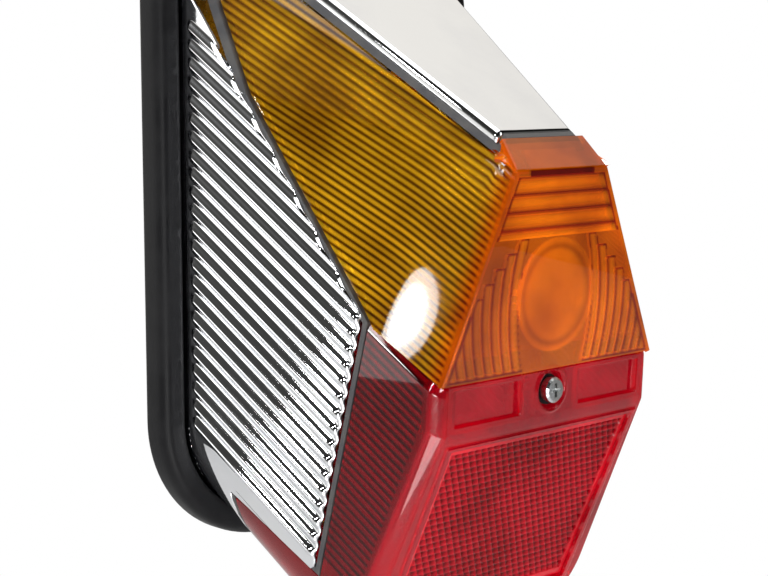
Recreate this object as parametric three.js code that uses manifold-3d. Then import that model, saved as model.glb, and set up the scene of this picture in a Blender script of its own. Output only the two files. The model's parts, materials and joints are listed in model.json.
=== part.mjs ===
// Rear combination lamp with a sloping body: rubber base, chromed ribbed housing,
// amber upper lens, red lower lens with a reflex panel, two bayonet bulbs.
// Millimetres, +Z up. The mounting face is the plane Y = 0 and the lamp reaches towards -Y.

import * as THREE from 'three';
import { mergeVertices } from 'three/addons/utils/BufferGeometryUtils.js';
import Module from 'manifold-3d';

const wasm = await Module();
wasm.setup();

// ---- driving dimensions -------------------------------------------------------------
// Lamp frame: y = 0 at the housing's rear edge, z = 0 at the seam between the two lenses.
const SEAT = 10;             // rubber between the mounting face and the housing's rear edge
const SEAM_HEIGHT = -35;     // seam between the lenses, below the middle of the base
const TILT = 0.68;           // fall of roof, ribs and underside for each mm of reach
const BASE_HALF = 54;        // half width at the rear edge
const DRAFT = 0.1165;        // each side closes in by this much for each mm of reach
const BASE_TOP = 120.6;      // height of the rear edge of the roof
const BASE_BOTTOM = -50;     // height of the rear edge of the underside
const CORNER = 30;           // radius of the lower corners
const WALL = 2.5;            // wall of housing and lenses
const FIT = 0.3;             // gap between touching pieces
const FACE = 90;             // reach of the nose at the seam
const RIB_PITCH = 5.07;      // height from one housing rib to the next
const RIB_RADIUS = 1.7;
const RIB_COUNT = 23;
const LOWEST_RIB = -17.8;    // height of the lowest rib at the rear edge
const SCREW_HEIGHT = -5.5;   // lens screw, in the nose band
const UPPER_BULB = 84;       // height where each bulb's axis meets the rear plane
const LOWER_BULB = -17;
const PLATE_FRONT = 4;       // backplate's front face
const PLATE_BACK = 6;
const LIP = 8.4;             // rubber outside the housing, all round
const WEB = 1.8;             // rubber behind the backplate
const FACE_TOP = -14;        // height of the reflex face's top edge
const NOSE_HALF = 43;        // half width of the nose at the seam
const LUG_SIDE = 45.5;       // housing screws, from the middle
const LUG_HEIGHTS = [78, -12];
const PILOT_RADIUS = 1.9;
const STUD_HOLE = 3.3;       // radius, for an M6 stud
const SCREW_HOLE = 2.3;      // radius, for the M4 lens screw
const SCREW_RECESS = 5.2;
const SOCKET_START = 26;     // reach of each socket's mouth, along the bulb's axis

const tiltAngle = Math.atan(TILT);

// ---- solids -------------------------------------------------------------------------
function solid(geometry) {
  const bare = geometry.clone();
  for (const name of Object.keys(bare.attributes)) {
    if (name !== 'position') bare.deleteAttribute(name);
  }
  const merged = mergeVertices(bare, 1e-4);
  const index = [...merged.index.array];
  if (signedVolume(merged) < 0) index.reverse();
  return new wasm.Manifold(new wasm.Mesh({
    numProp: 3,
    vertProperties: new Float32Array(merged.attributes.position.array),
    triVerts: new Uint32Array(index),
  }));
}

// Six times the enclosed volume, negative where the faces point inwards.
function signedVolume(geometry) {
  const { position } = geometry.attributes;
  const index = geometry.index.array;
  const [a, b, c] = [new THREE.Vector3(), new THREE.Vector3(), new THREE.Vector3()];
  let total = 0;
  for (let i = 0; i < index.length; i += 3) {
    a.fromBufferAttribute(position, index[i]);
    b.fromBufferAttribute(position, index[i + 1]);
    c.fromBufferAttribute(position, index[i + 2]);
    total += a.dot(b.cross(c));
  }
  return total;
}

function geometryOf(body) {
  const mesh = body.getMesh();
  const geometry = new THREE.BufferGeometry();
  geometry.setAttribute('position', new THREE.BufferAttribute(new Float32Array(mesh.vertProperties), 3));
  geometry.setIndex(new THREE.BufferAttribute(new Uint32Array(mesh.triVerts), 1));
  geometry.computeVertexNormals();
  return geometry;
}

const join = (bodies) => bodies.reduce((sum, body) => sum.add(body));

function box(x0, x1, y0, y1, z0, z1) {
  const geometry = new THREE.BoxGeometry(x1 - x0, y1 - y0, z1 - z0);
  geometry.translate((x0 + x1) / 2, (y0 + y1) / 2, (z0 + z1) / 2);
  return solid(geometry);
}

// A turned shape from [radius, distance] points; distance runs along +Y, and a profile that
// doesn't start and end on the axis is closed.
function turned(profile, segments = 20) {
  const closed = [...profile];
  const [first, last] = [profile[0], profile[profile.length - 1]];
  if (first[0] !== 0 || last[0] !== 0) closed.push(first);
  const points = closed.map(([radius, along]) => new THREE.Vector2(radius, along));
  return new THREE.LatheGeometry(points, segments);
}

// A rod, and a tube, along Y from reach y0 to y1 about (x, z).
function rod(radius, y0, y1, x = 0, z = 0, segments = 20) {
  const geometry = turned([[0, y0], [radius, y0], [radius, y1], [0, y1]], segments);
  geometry.translate(x, 0, z);
  return solid(geometry);
}

function tube(inner, outer, y0, y1, x = 0, z = 0, segments = 20) {
  const geometry = turned([[inner, y0], [outer, y0], [outer, y1], [inner, y1]], segments);
  geometry.translate(x, 0, z);
  return solid(geometry);
}

// ---- body outline -------------------------------------------------------------------
// The rear outline, anticlockwise seen from the front: [x, z] points moved out by grow.
function rearOutline(grow = 0) {
  const half = BASE_HALF + grow;
  const radius = CORNER + grow;
  const centreX = BASE_HALF - CORNER;
  const centreZ = BASE_BOTTOM + CORNER;
  const steps = 9;
  const points = [];
  for (let i = 0; i <= steps; i += 1) {
    const angle = Math.PI / 2 * (1 + i / steps);
    points.push([radius * Math.cos(angle) - centreX, centreZ - radius * Math.sin(angle)]);
  }
  const lower = points.reverse();
  const mirrored = lower.map(([x, z]) => [-x, z]).reverse();
  return [...lower, ...mirrored, [half, BASE_TOP + grow], [-half, BASE_TOP + grow]];
}

// The base's outline has cut upper corners, where the amber faces reach the rear edge.
function baseShape(grow) {
  const lower = rearOutline(grow).slice(0, -2);
  const half = BASE_HALF + grow;
  const shoulder = 103 + grow * 0.4;
  const flat = 35 + grow * 0.4;
  const top = BASE_TOP + grow;
  const ring = [...lower, [half, shoulder], [flat, top], [-flat, top], [-half, shoulder]];
  return new THREE.Shape(ring.map(([x, z]) => new THREE.Vector2(x, z)));
}

// A plate of the base's outline between two reaches, with an optional rounded edge.
function basePlate(grow, y0, y1, bevel = 0) {
  const geometry = new THREE.ExtrudeGeometry(baseShape(grow - bevel), {
    depth: y1 - y0 - 2 * bevel,
    bevelEnabled: bevel > 0,
    bevelThickness: bevel,
    bevelSize: bevel,
    bevelSegments: 3,
    curveSegments: 8,
  });
  geometry.rotateX(Math.PI / 2);
  geometry.translate(0, y1 - bevel, 0);
  return solid(geometry);
}

// The sloping column whose section is the rear outline.
function column(inset, rear, front) {
  const ring = rearOutline(-inset);
  const section = (y) => ring.map(([x, z]) => {
    const squeeze = 1 + DRAFT * y / BASE_HALF;
    return [x * squeeze, y, z + TILT * y];
  });
  const positions = [...section(rear), ...section(front)].flat();
  const count = ring.length;
  const index = [];
  for (let i = 0; i < count; i += 1) {
    const next = (i + 1) % count;
    index.push(i, next, count + i, next, count + next, count + i);
    if (i > 0 && i < count - 1) {
      index.push(0, i + 1, i);
      index.push(count, count + i, count + i + 1);
    }
  }
  const geometry = new THREE.BufferGeometry();
  geometry.setAttribute('position', new THREE.Float32BufferAttribute(positions, 3));
  geometry.setIndex(index.reverse());
  return solid(geometry);
}

// Faces that cut the column, each by three points on the left half or the middle. The amber
// flank and the facet towards the nose meet in a hollow crease; the others are all convex.
const seamTop = [-53, 0, 104];
const seamCorner = [-46.2, -66.7, 15.2];
const roofFront = [-16, -85.7, 59.5];
const noseCorner = [-NOSE_HALF, -FACE, 0];
const frontReach = -93;      // y of the top of the amber front
const frontHeight = 54;
const frontTop = [-18.3, frontReach, frontHeight];
const amberSide = [
  [seamTop, seamCorner, roofFront],
  [seamTop, roofFront, [-35, 0, BASE_TOP - 3]],
];
const noseFacet = [seamCorner, noseCorner, frontTop];
const roofEnd = -85.8;
const faceReach = -89;       // y of the reflex face's top edge
const roofBevel = [[-13.5, roofEnd, 62.3], [-33, 0, BASE_TOP], [-17, roofEnd, 57.5]];
const crownBevel = [[-16.4, roofEnd, 62.3], frontTop, [-18.6, roofEnd, 56.5]];
const faceCuts = [
  [frontTop, [0, frontReach, frontHeight], [0, -FACE, 0]],
  [frontTop, [0, frontReach, frontHeight], [0, -85.7, 62.3]],
  [[0, faceReach, FACE_TOP], [10, faceReach, FACE_TOP], [0, -68.9, -57.6]],
  [[-44.1, -85.5, FACE_TOP], [-41.2, faceReach, FACE_TOP], [-46.2, -67.1, -54]],
];
const core = new THREE.Vector3(0, -30, 20);

// Everything behind the plane of three points, moved inwards by inset.
function behind(points, inset, mirror) {
  const [a, b, c] = points.map(([x, y, z]) => new THREE.Vector3(mirror * x, y, z));
  const normal = b.clone().sub(a).cross(c.clone().sub(a)).normalize();
  if (normal.dot(core.clone().sub(a)) > 0) normal.negate();
  const size = 600;
  const geometry = new THREE.BoxGeometry(size, size, size);
  geometry.translate(0, 0, -size / 2);
  geometry.applyQuaternion(new THREE.Quaternion().setFromUnitVectors(new THREE.Vector3(0, 0, 1), normal));
  const place = a.sub(normal.multiplyScalar(inset));
  geometry.translate(place.x, place.y, place.z);
  return solid(geometry);
}

function lampBody(inset, rear) {
  let body = column(inset, rear, -130);
  for (const mirror of [1, -1]) {
    const flank = behind(amberSide[0], inset, mirror).intersect(behind(amberSide[1], inset, mirror));
    body = body.intersect(flank.add(behind(noseFacet, inset, mirror)));
    const front = box(-100, 100, -140, roofEnd, -200, 200);
    body = body.intersect(behind(roofBevel, inset, mirror).add(front));
    const belowCrown = box(-100, 100, -140, 50, -200, frontTop[2]);
    const behindCrown = box(-100, 100, roofEnd, 50, -200, 200);
    body = body.intersect(behind(crownBevel, inset, mirror).add(belowCrown).add(behindCrown));
    for (const points of faceCuts) body = body.intersect(behind(points, inset, mirror));
  }
  return body;
}

// ---- zones seen from the side, as [y, z] polygons -------------------------------------
const amberZone = [
  [-4, 100], [-66.7, 15.2], [-90, FIT], [-120, FIT], [-120, 90], [-85.9, 90], [-85.9, 57.1], [-4, 112.8],
];
const redZone = [[-66.7, 14.6], [-49.4, -56.6], [-17, -39], [-17, -160], [-130, -160], [-130, 0], [-90, 0]];

function grown(polygon, by) {
  const area = polygon.reduce((sum, [y, z], i) => {
    const [ny, nz] = polygon[(i + 1) % polygon.length];
    return sum + y * nz - ny * z;
  }, 0);
  const turn = Math.sign(area);
  return polygon.map(([y, z], i) => {
    const [py, pz] = polygon[(i + polygon.length - 1) % polygon.length];
    const [ny, nz] = polygon[(i + 1) % polygon.length];
    const before = new THREE.Vector2(z - pz, -(y - py)).normalize();
    const after = new THREE.Vector2(nz - z, -(ny - y)).normalize();
    const mitre = before.clone().add(after);
    const scale = turn * by * 2 / mitre.lengthSq();
    return [y + mitre.x * scale, z + mitre.y * scale];
  });
}

// A prism across the lamp from x0 to x1 over a side view polygon.
function sidePrism(polygon, x0 = -90, x1 = 90) {
  const shape = new THREE.Shape(polygon.map(([y, z]) => new THREE.Vector2(y, z)));
  const geometry = new THREE.ExtrudeGeometry(shape, { depth: x1 - x0, bevelEnabled: false });
  geometry.applyMatrix4(new THREE.Matrix4().makeBasis(
    new THREE.Vector3(0, 1, 0), new THREE.Vector3(0, 0, 1), new THREE.Vector3(1, 0, 0)));
  geometry.translate(x0, 0, 0);
  return solid(geometry);
}

function lensZone(by) {
  return sidePrism(grown(amberZone, by)).add(sidePrism(grown(redZone, by)));
}

// ---- housing and lenses ---------------------------------------------------------------
const screwPlaces = [-LUG_SIDE, LUG_SIDE].flatMap((x) => LUG_HEIGHTS.map((z) => [x, z]));
const housingRear = PLATE_FRONT - FIT;
const outer = lampBody(0, 0).add(basePlate(0, -0.1, housingRear));
const hollow = lampBody(WALL, 0).add(basePlate(-WALL - 0.5, -0.5, housingRear + 5));
const shell = outer.subtract(hollow);

// One half-round rib on the left side, along the draw direction.
function housingRib(height) {
  const profile = new THREE.Shape();
  const steps = 4;
  for (let i = 0; i <= steps; i += 1) {
    const angle = Math.PI * i / steps;
    profile.lineTo(RIB_RADIUS * Math.cos(angle), RIB_RADIUS * Math.sin(angle));
  }
  profile.lineTo(-RIB_RADIUS, -0.8);
  profile.lineTo(RIB_RADIUS, -0.8);
  profile.curves.shift();
  const geometry = new THREE.ExtrudeGeometry(profile, { depth: 100, bevelEnabled: false });
  const along = new THREE.Vector3(DRAFT, -1, -TILT).normalize();
  const outward = new THREE.Vector3(-1, -DRAFT, 0).normalize();
  const across = outward.clone().cross(along).normalize();
  geometry.applyMatrix4(new THREE.Matrix4().makeBasis(across, outward, along));
  const start = 1.8;
  geometry.translate(-BASE_HALF + DRAFT * start, -start, height - TILT * start);
  return solid(geometry);
}

function housing() {
  const ribs = [];
  for (let i = 0; i < RIB_COUNT; i += 1) ribs.push(housingRib(LOWEST_RIB + RIB_PITCH * i));
  const clear = lensZone(3.2);
  const lowerPart = box(-90, 0, -90, 0, -90, seamCorner[2]);
  const left = join(ribs).subtract(clear).intersect(behind(amberSide[0], 1.5, 1).add(lowerPart));
  const right = geometryOf(left);
  right.scale(-1, 1, 1);
  const lugs = screwPlaces.map(([x, z]) => {
    const [inner, edge] = [x - Math.sign(x) * 4.5, x + Math.sign(x) * 6.5];
    return box(Math.min(inner, edge), Math.max(inner, edge), -7, housingRear, z - 5, z + 5);
  });
  const holes = screwPlaces.map(([x, z]) => rod(PILOT_RADIUS, -6, PLATE_BACK, x, z, 12));
  return join([shell.subtract(lensZone(2.1)), left, solid(right), ...lugs]).subtract(join(holes));
}

function lensSeal() {
  return shell.intersect(lensZone(1.8)).subtract(lensZone(FIT));
}

function amberLens() {
  return shell.intersect(sidePrism(amberZone));
}

// Points on the sloping reflex face: x, and distance down the face from its top edge.
const reflexTilt = Math.atan2(20.1, 43.6);
function onReflexFace(geometry, lift) {
  geometry.rotateX(reflexTilt);
  const out = new THREE.Vector3(0, -Math.cos(reflexTilt), -Math.sin(reflexTilt));
  geometry.translate(out.x * lift, faceReach + out.y * lift, FACE_TOP + out.z * lift);
  return geometry;
}

function reflexBox(half, top, bottom, lift, thickness) {
  const geometry = new THREE.BoxGeometry(2 * half, thickness, bottom - top);
  geometry.translate(0, thickness / 2, -(top + bottom) / 2);
  return solid(onReflexFace(geometry, lift));
}

function redLens() {
  const plain = shell.intersect(sidePrism(redZone));
  const backing = reflexBox(41, 1.5, 66, -0.4, 4.2).intersect(lampBody(0.3, 0));
  const boss = rod(6.5, -FACE + 1, -FACE + 8, 0, SCREW_HEIGHT);
  const windows = [];
  for (const side of [-1, 1]) {
    windows.push(box(Math.min(side * 11.7, side * 37.5), Math.max(side * 11.7, side * 37.5),
      -100, -FACE + 1.6, -11, -1.2));
  }
  const recess = rod(SCREW_RECESS, -100, -FACE + 2.4, 0, SCREW_HEIGHT);
  const hole = rod(SCREW_HOLE, -100, -70, 0, SCREW_HEIGHT);
  const pocket = reflexBox(37, 3.5, 62, 3, 5.4);
  return join([plain, backing, boss]).subtract(join([...windows, recess, hole, pocket]));
}

function reflexPanel() {
  return reflexBox(36.7, 3.8, 61.7, 0.2, 2);
}

// The partition runs from the backplate to the seam, parallel to the ribs.
function chamberDivider() {
  const rise = TILT * FACE;
  const slab = sidePrism([[-1, rise - 2.2 - TILT], [-1, rise - 1 - TILT], [-80, 5.7], [-80, 4.5]]);
  const notch = box(-4, 4, -9, 2, 40, 70);
  return slab.intersect(lampBody(WALL + 0.6, 20)).subtract(notch);
}

// ---- base -----------------------------------------------------------------------------
const studs = [[0, 101], [0, -40]];
const cableHole = [0, 50];

function backplate() {
  const holes = [rod(7, 0, 20, ...cableHole)];
  for (const [x, z] of studs) holes.push(rod(STUD_HOLE, 0, 20, x, z, 16));
  for (const [x, z] of screwPlaces) holes.push(rod(PILOT_RADIUS, 0, 20, x, z, 12));
  return basePlate(-0.4, PLATE_FRONT, PLATE_BACK).subtract(join(holes));
}

function baseGasket() {
  const rim = basePlate(LIP, 0, SEAT, 3);
  const well = basePlate(0.6, -5, SEAT - WEB);
  const holes = [rod(10.5, 0, 20, ...cableHole)];
  for (const [x, z] of studs) holes.push(rod(STUD_HOLE + 0.1, 0, 20, x, z, 16));
  return rim.subtract(well).subtract(join(holes));
}

// A gland of rubber held in the backplate, with a bore for the cable.
function cableGrommet() {
  const geometry = turned([
    [4, -1], [9, 0], [9, PLATE_FRONT - FIT], [6.7, PLATE_FRONT - FIT],
    [6.7, PLATE_BACK + FIT], [9, PLATE_BACK + FIT], [9, 8.5], [5, 12], [4, 12],
  ]);
  geometry.translate(cableHole[0], 0, cableHole[1]);
  return solid(geometry);
}

// ---- fasteners --------------------------------------------------------------------------
function hexagon(acrossFlats, y0, y1) {
  return rod(acrossFlats / Math.sqrt(3), y0, y1, 0, 0, 6);
}

function nut() {
  return hexagon(10, 0, 5).subtract(rod(STUD_HOLE, -1, 6, 0, 0, 16));
}

// Cheese head with a cross recess, its seat at y = 0 and its shank towards +Y.
function crossScrew(headRadius, headHeight, shankRadius, shankLength) {
  const bevel = headRadius * 0.16;
  const geometry = turned([
    [0, -headHeight], [headRadius - bevel, -headHeight], [headRadius, -headHeight + bevel],
    [headRadius, 0], [shankRadius, 0], [shankRadius, shankLength - 1], [shankRadius - 0.8, shankLength],
    [0, shankLength],
  ], 24);
  const arm = headRadius * 0.55;
  const slot = headRadius * 0.13;
  const deep = -headHeight * 0.35;
  const cross = box(-arm, arm, -headHeight - 1, deep, -slot, slot)
    .add(box(-slot, slot, -headHeight - 1, deep, -arm, arm));
  return solid(geometry).subtract(cross);
}

// ---- lens bracket: strap along the lamp with a slotted front tab --------------------------
const RIVET_HEIGHT = 12;

function lensBracket() {
  const end = -79.2;
  const strap = box(-7, 7, end, PLATE_FRONT - FIT, 3, 4.5);
  const tab = box(-7, 7, end, end + 1.2, -15, 4.5);
  const foot = box(-7, 7, 2.2, PLATE_FRONT - FIT, 3, 18);
  const slot = box(-2.4, 2.4, -82, -70, SCREW_HEIGHT - 7, SCREW_HEIGHT)
    .add(rod(2.4, -82, -70, 0, SCREW_HEIGHT, 16))
    .add(rod(2.4, -82, -70, 0, SCREW_HEIGHT - 7, 16));
  const rivetHole = rod(2.3, 0, 10, 0, RIVET_HEIGHT, 12);
  return join([strap, tab, foot]).subtract(slot).subtract(rivetHole);
}

// ---- bulb units, in their own frame: y runs back into the socket, y = 0 at its mouth -------
const SOCKET_LENGTH = 19;
const CAP_RADIUS = 7.5;
const SOCKET_INNER = 8.3;
const SOCKET_OUTER = 9.3;
const PIN_DEPTH = 7;
const PUSH = 2.5;

function socket() {
  const body = turned([
    [SOCKET_INNER, -1], [SOCKET_OUTER, -1], [SOCKET_OUTER, SOCKET_LENGTH], [SOCKET_INNER, SOCKET_LENGTH],
  ], 24);
  const flange = tube(SOCKET_OUTER - 0.4, 12.5, 8.5, 9.7, 0, 0, 24);
  const slots = [];
  for (const side of [-1, 1]) {
    const from = Math.min(side * 6, side * 12);
    const to = Math.max(side * 6, side * 12);
    slots.push(box(from, to, -3, PIN_DEPTH + PUSH + 1.5, side > 0 ? 1.6 : -4.6, side > 0 ? 4.6 : -1.6));
    slots.push(box(from, to, PIN_DEPTH - 1.6, PIN_DEPTH + PUSH + 1.5, side > 0 ? -1.6 : -4.6, side > 0 ? 4.6 : 1.6));
  }
  return solid(body).add(flange).subtract(join(slots));
}

// The backing disc of the socket, with a hole for the sprung contact.
function insulator() {
  return tube(2.6, SOCKET_INNER - FIT, SOCKET_LENGTH - 2.6, SOCKET_LENGTH - 0.4, 0, 0, 24);
}

function contactSpring() {
  return tube(2.5, 3.4, SOCKET_LENGTH + 0.2, SOCKET_LENGTH + 2.4, 0, 0, 16);
}

// The sprung contact follows the bulb; its stem runs through insulator and spring.
function contactPlunger() {
  return solid(turned([
    [0, 13.2], [3.4, 13.2], [3.4, 13.5], [2.2, SOCKET_LENGTH - 2.7 - PUSH],
    [2.2, SOCKET_LENGTH + 3], [0, SOCKET_LENGTH + 3],
  ], 16));
}

function bulbCap() {
  const contact = solid(turned([[0, 11.2], [3.4, 11.2], [3, 12.9], [0, 12.9]], 16));
  const sleeve = solid(turned([
    [0, 9.6], [CAP_RADIUS - 1, 9.6], [CAP_RADIUS, 8.6], [CAP_RADIUS, -5.5], [CAP_RADIUS - 1, -5.5],
    [CAP_RADIUS - 1, -3], [0, -3],
  ], 24));
  const neck = solid(turned([[0, 9], [4.6, 9], [3.2, 11.6], [0, 11.6]], 16));
  const pins = solid(new THREE.CylinderGeometry(1, 1, 18.6, 10).rotateZ(Math.PI / 2).translate(0, PIN_DEPTH, 0));
  return join([sleeve, neck, contact, pins]);
}

// Glass envelope, open towards the cap.
function bulbGlass() {
  const radius = 12.3;
  const neck = 6.1;
  const centre = -24;
  const wall = 0.9;
  const curve = (r) => {
    const points = [];
    const steps = 9;
    for (let i = 0; i <= steps; i += 1) {
      const angle = Math.PI * 0.5 * i / steps;
      points.push([r * Math.sin(angle), centre - r * Math.cos(angle)]);
    }
    return points;
  };
  const outside = [...curve(radius), [radius, -22], [radius * 0.86, -15], [neck, -9], [neck, -3.4]];
  const inside = [...curve(radius - wall), [radius - wall, -22], [radius * 0.86 - wall, -15.3],
    [neck - wall, -9.3], [neck - wall, -3.4]];
  inside[0][0] = 0;
  return solid(turned([...outside, ...inside.reverse()], 24));
}

function filament() {
  const stem = rod(2, -9, -3.4, 0, 0, 12);
  const wires = [-4, 4].map((x) => {
    const points = [[0, -8.5], [x * 0.4, -13], [x, -20]];
    return points.slice(1).map(([px, py], i) => strut(points[i], [px, py]));
  }).flat();
  const coil = solid(new THREE.CylinderGeometry(0.8, 0.8, 9, 8).rotateZ(Math.PI / 2).translate(0, -20.2, 0));
  return join([stem, ...wires, coil]);
}

// A thin square wire between two [x, y] points.
function strut([x0, y0], [x1, y1]) {
  const length = Math.hypot(x1 - x0, y1 - y0) + 0.5;
  const geometry = new THREE.BoxGeometry(0.6, length, 0.6);
  geometry.rotateZ(Math.atan2(y1 - y0, x1 - x0) - Math.PI / 2);
  geometry.translate((x0 + x1) / 2, (y0 + y1) / 2, 0);
  return solid(geometry);
}

// Metallised bowl clipped on the socket's flange.
function reflectorBowl() {
  const [small, large, rear, wall, steps] = [12, 18, 7.4, 1, 5];
  const front = [];
  const back = [];
  for (let i = 0; i <= steps; i += 1) {
    const radius = small + (large - small) * i / steps;
    const y = rear - (radius * radius - small * small) / 20;
    front.push([radius, y]);
    back.push([radius + wall, y + 0.4]);
  }
  return solid(turned([...front, ...back.reverse(), [small, rear + 0.8]], 24));
}

// A bent strap from the socket's flange back to the backplate, in the lamp frame.
function holderBracket(height) {
  const centreY = -SOCKET_START;
  const place = (y, across) => [
    centreY + y * Math.cos(tiltAngle) + across * Math.sin(tiltAngle),
    height - TILT * SOCKET_START + y * Math.sin(tiltAngle) - across * Math.cos(tiltAngle),
  ];
  const [footY, footZ] = place(10.4, 0);
  const face = [place(10, -9), place(11.2, -9), place(11.2, 9), place(10, 9)];
  const bars = [sidePrism(face, -20, -9.8), sidePrism(face, 9.8, 20)];
  for (const x0 of [-20, 16]) bars.push(box(x0, x0 + 4, footY, PLATE_FRONT - FIT, footZ - 4, footZ + 4));
  bars.push(box(-20, 20, PLATE_FRONT - FIT - 1.2, PLATE_FRONT - FIT, footZ - 4, footZ + 4));
  return join(bars);
}

// An insulated lead along hand-laid points.
function lead(points) {
  const radius = 0.8;
  const sides = 8;
  const section = new THREE.Shape();
  for (let i = 0; i < sides; i += 1) {
    const angle = 2 * Math.PI * i / sides;
    const corner = [radius * Math.cos(angle), radius * Math.sin(angle)];
    if (i === 0) section.moveTo(...corner);
    else section.lineTo(...corner);
  }
  const path = new THREE.CatmullRomCurve3(points.map((p) => new THREE.Vector3(...p)));
  return solid(new THREE.ExtrudeGeometry(section, { steps: 14, extrudePath: path }));
}

// ---- scene graph ------------------------------------------------------------------------
const lamp = new THREE.Group();
lamp.position.set(0, -SEAT, SEAM_HEIGHT);
const group = new THREE.Group();
group.add(lamp);

const finish = {
  rubber: { color: 0x17181a, roughness: 0.6, metalness: 0 },
  chrome: { color: 0xd9dcdf, roughness: 0.06, metalness: 1 },
  zinc: { color: 0xb9bcc0, roughness: 0.35, metalness: 1 },
  brass: { color: 0xc9a456, roughness: 0.3, metalness: 1 },
  amber: { color: 0xf08a12, roughness: 0.08, metalness: 0, transparent: true, opacity: 0.75 },
  red: { color: 0xc4101f, roughness: 0.08, metalness: 0, transparent: true, opacity: 0.8 },
  white: { color: 0xe9e7e0, roughness: 0.4, metalness: 0 },
  dark: { color: 0x3a3c40, roughness: 0.5, metalness: 0 },
  glass: { color: 0xf3f6f7, roughness: 0.05, metalness: 0, transparent: true, opacity: 0.4 },
};

function add(parent, name, body, look) {
  const mesh = new THREE.Mesh(geometryOf(body), new THREE.MeshStandardMaterial(finish[look]));
  mesh.name = name;
  parent.add(mesh);
  return mesh;
}

add(lamp, 'base_gasket', baseGasket(), 'rubber');
add(lamp, 'backplate', backplate(), 'zinc');
add(lamp, 'chrome_housing', housing(), 'chrome');
add(lamp, 'lens_seal', lensSeal(), 'dark');
add(lamp, 'amber_lens', amberLens(), 'amber');
add(lamp, 'red_lens', redLens(), 'red');
add(lamp, 'reflex_panel', reflexPanel(), 'red');
add(lamp, 'chamber_divider', chamberDivider(), 'white');
add(lamp, 'lens_bracket', lensBracket(), 'zinc');
add(lamp, 'cable_grommet', cableGrommet(), 'rubber');

const lensScrew = add(lamp, 'lens_screw', crossScrew(3.5, 2.6, 2, 15.5), 'zinc');
lensScrew.position.set(0, -FACE + 1.2, SCREW_HEIGHT);
const lensWasher = add(lamp, 'lens_screw_seal', tube(SCREW_HOLE, 4.2, 0, 0.6), 'rubber');
lensWasher.position.set(0, -FACE + 1.5, SCREW_HEIGHT);

studs.forEach(([x, z], i) => {
  const stud = new THREE.Group();
  stud.position.set(x, 0, z);
  lamp.add(stud);
  const place = ['upper', 'lower'][i];
  const head = rod(5.5, PLATE_FRONT - 3.3, PLATE_FRONT - FIT, 0, 0, 6).add(rod(2.9, 2, SEAT + 18, 0, 0, 16));
  add(stud, `mounting_stud_${place}`, head, 'zinc');
  add(stud, `stud_washer_${place}`, tube(STUD_HOLE, 6.5, SEAT + 2.3, SEAT + 3.7), 'zinc');
  add(stud, `stud_nut_${place}`, nut(), 'zinc').position.set(0, SEAT + 4, 0);
});

screwPlaces.forEach(([x, z], i) => {
  const screw = add(lamp, `housing_screw_${i + 1}`, crossScrew(2.8, 1.6, 1.5, 10.5), 'zinc');
  screw.rotation.x = Math.PI;
  screw.position.set(x, PLATE_BACK + FIT, z);
});

const bracketRivet = solid(turned([
  [0, 0.2], [3.6, 0.2], [4, 1.9], [2, 1.9], [2, PLATE_FRONT - FIT - 0.1], [0, PLATE_FRONT - FIT - 0.1],
]));
add(lamp, 'bracket_rivet', bracketRivet, 'brass').position.set(0, 0, RIVET_HEIGHT);

for (const [place, height] of [['upper', UPPER_BULB], ['lower', LOWER_BULB]]) {
  add(lamp, `${place}_holder_bracket`, holderBracket(height), 'zinc');
  const unit = new THREE.Group();
  unit.position.set(0, -SOCKET_START, height - TILT * SOCKET_START);
  unit.rotation.x = tiltAngle;
  lamp.add(unit);
  add(unit, `${place}_socket`, socket(), 'brass');
  add(unit, `${place}_insulator`, insulator(), 'dark');
  add(unit, `${place}_contact_spring`, contactSpring(), 'zinc');
  add(unit, `${place}_contact_plunger`, contactPlunger(), 'brass');
  add(unit, `${place}_bulb_cap`, bulbCap(), 'brass');
  add(unit, `${place}_bulb_glass`, bulbGlass(), 'glass');
  add(unit, `${place}_bulb_filament`, filament(), 'zinc');
  add(unit, `${place}_reflector_bowl`, reflectorBowl(), 'chrome');
}

add(lamp, 'upper_lead', lead([[1.6, 6, 50], [1.6, -3, 50.5], [1.6, -5.5, 58], [2.5, -4, 62], [3.5, -3, 68]]), 'dark');
add(lamp, 'lower_lead', lead([[-1.6, 6, 50], [-1.6, -3, 49], [-8, -3, 36], [-11, -2, 8], [-6, -7.5, -18]]), 'dark');

export default group;
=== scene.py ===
# %% [markdown]
# A rear lamp is three kinds of surface put together: bright chrome, coloured clear plastic and
# dull rubber. All of them are shapes that we can compute: a point on the lamp is a function of
# two numbers, one along the ribs and one across them. This file computes those grids with
# numpy, hands them to Blender, and then gives each one a material.

import json
import math

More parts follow.
